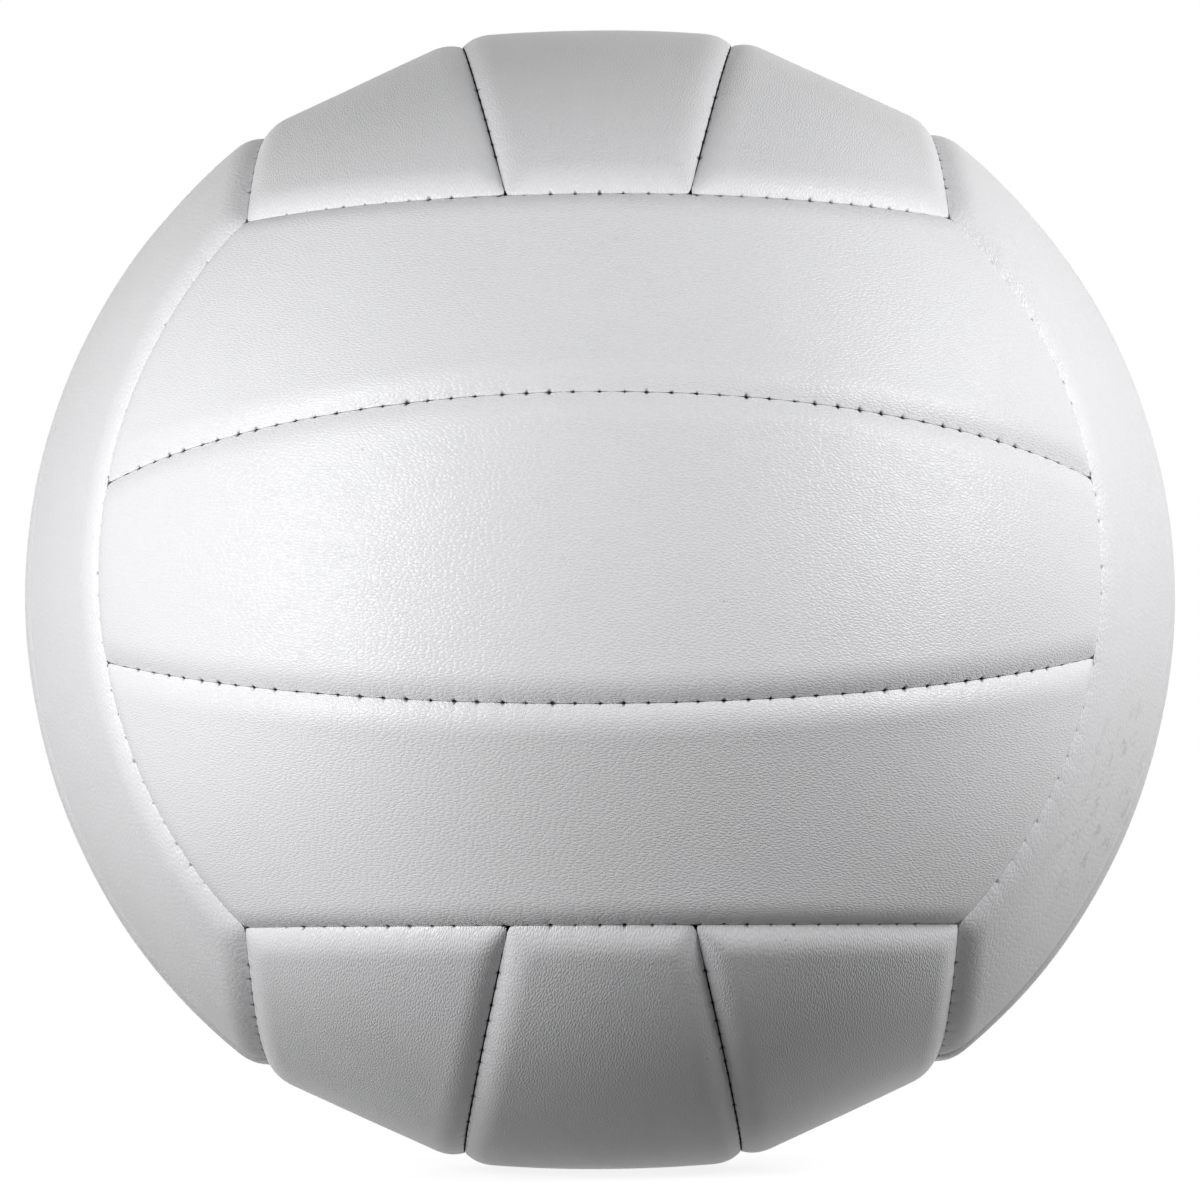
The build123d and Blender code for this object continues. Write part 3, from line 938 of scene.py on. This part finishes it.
def rubberMaterial(name):
    # dark rubber with a faint even grain and paler clouds
    values = rubber[name]
    material, tree, shader = newMaterial(name + "Rubber")
    place = addNode(tree, "ShaderNodeTexCoord").outputs["Object"]
    skin = addNode(tree, "ShaderNodeGroup", {"Size": values["grain"], "Stretch": rubberSkin["stretch"]},
                   {"Place": place}, node_tree=grain)
    marks = addNode(tree, "ShaderNodeGroup", {"Size": rubberSkin["markSize"]},
                    {"Place": place}, node_tree=handling)
    cloudy = mathNode(tree, "MULTIPLY", marks.outputs["Mask"], rubberSkin["markColour"])
    colour = mixColour(tree, cloudy, values["colour"], values["pale"])
    tree.links.new(colour, shader.inputs["Base Color"])
    clouded = mathNode(tree, "MULTIPLY", marks.outputs["Mask"], rubberSkin["markRoughness"])
    tree.links.new(mathNode(tree, "ADD", clouded, values["roughness"]), shader.inputs["Roughness"])
    bumpFrom(tree, shader, skin.outputs["Height"], rubberSkin["bump"], rubberSkin["bumpDistance"])
    return material


def dress(pieces, material):
    # one finish on all of these meshes
    for piece in pieces:
        piece.data.materials.clear()
        piece.data.materials.append(material)


def dressNode(node, material):
    # a CAD solid keeps its slots and gets the finish in them
    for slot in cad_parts[node].material_slots:
        slot.material = material


dress(panels, leatherMaterial())
dress(linings, fabricMaterial("lining", True))
# the threads' near-black finish is painted shade in the seams
dress(threads, fabricMaterial("thread", True))
dressNode("bladder", rubberMaterial("bladder"))
dressNode("valve_stem", rubberMaterial("valve"))
dressNode("valve_core", rubberMaterial("core"))
dressNode("valve_patch", fabricMaterial("patch", False))
print("finishes:", len(bpy.data.materials))

# stage: pale floor that keeps the shadow, white surroundings, two soft lamps close in front and one behind
stage = {
    "halfSize": 6.0,
    "shown": 0.35, "glow": 0.86,  # the floor as it is seen: its own grey, and light of its own
    "fadeFrom": 0.3, "fadeTo": 1.6,  # distances over which it turns to plain white
    "bounce": 0.06, "ambient": 0.04,  # what the ball gets from the floor and the surroundings
}
plainWhite = (1, 1, 1, 1)
floorMesh = bpy.data.meshes.new("floor")
s, z = stage["halfSize"], cadLow.z
floorMesh.from_pydata([(-s, -s, z), (s, -s, z), (s, s, z), (-s, s, z)], [], [(0, 1, 2, 3)])
floor = newObject("floor", floorMesh)


def grey(level):
    # the same in red, green and blue
    return (level, level, level, 1)


def seenDirectly(tree):
    # 1 for camera, glossy and transmission rays
    light = addNode(tree, "ShaderNodeLightPath")
    total = mathNode(tree, "MAXIMUM", light.outputs["Is Camera Ray"], light.outputs["Is Glossy Ray"])
    return mathNode(tree, "MAXIMUM", total, light.outputs["Is Transmission Ray"])


def mixShader(tree, factor, first, second):
    # first at 0, second at 1
    return addNode(tree, "ShaderNodeMixShader", links={0: factor, 1: first, 2: second}).outputs[0]


floorMaterial, tree, shader = newMaterial("floor")
tree.nodes.remove(shader)
pale = addNode(tree, "ShaderNodeBsdfDiffuse", {"Color": grey(stage["shown"])})
glow = addNode(tree, "ShaderNodeEmission", {"Color": plainWhite, "Strength": stage["glow"]})
shown = addNode(tree, "ShaderNodeAddShader", links={0: pale.outputs[0], 1: glow.outputs[0]})
bounce = addNode(tree, "ShaderNodeBsdfDiffuse", {"Color": grey(stage["bounce"])})
place = addNode(tree, "ShaderNodeTexCoord").outputs["Object"]
far = addNode(tree, "ShaderNodeVectorMath", links={0: place}, operation="LENGTH")
fade = rangeNode(tree, far.outputs["Value"], {"From Min": stage["fadeFrom"], "From Max": stage["fadeTo"]},
                 interpolation_type="SMOOTHSTEP")
white = addNode(tree, "ShaderNodeEmission", {"Color": plainWhite, "Strength": 1.0})
faded = mixShader(tree, fade, shown.outputs[0], white.outputs[0])
picked = mixShader(tree, seenDirectly(tree), bounce.outputs[0], faded)
tree.links.new(picked, tree.nodes["Material Output"].inputs["Surface"])
floorMesh.materials.append(floorMaterial)

world = bpy.data.worlds.new("studio")
world.use_nodes = True
bpy.context.scene.world = world
tree = world.node_tree
ambient = tree.nodes["Background"]
ambient.inputs["Color"].default_value = plainWhite
ambient.inputs["Strength"].default_value = stage["ambient"]
white = addNode(tree, "ShaderNodeBackground", {"Color": plainWhite, "Strength": 1.0})
picked = mixShader(tree, seenDirectly(tree), ambient.outputs[0], white.outputs[0])
tree.links.new(picked, tree.nodes["World Output"].inputs["Surface"])

lamps = {  # soft globes; turn is round the ball from the camera, rise is above its middle, both in degrees
    "leftLamp": {"turn": -42, "rise": 3, "distance": 0.40, "radius": 0.10, "power": 4.3, "gloss": True},
    "rightLamp": {"turn": 55, "rise": 18, "distance": 0.40, "radius": 0.10, "power": 4.1, "gloss": True},
    "backLamp": {"turn": 180, "rise": 11, "distance": 2.0, "radius": 0.30, "power": 120.0, "gloss": False},
}
for name, lamp in lamps.items():
    lampData = bpy.data.lights.new(name, "POINT")
    lampData.shadow_soft_size = lamp["radius"]
    lampData.energy = lamp["power"]
    item = newObject(name, lampData)
    turn, rise = math.radians(lamp["turn"]), math.radians(lamp["rise"])
    place = Vector((math.sin(turn) * math.cos(rise), -math.cos(turn) * math.cos(rise), math.sin(rise)))
    item.location = place * lamp["distance"]
    item.visible_camera = False
    item.visible_glossy = lamp["gloss"]
print("stage:", len(lamps), "lamps")

bpy.context.scene.view_settings.view_transform = "Standard"
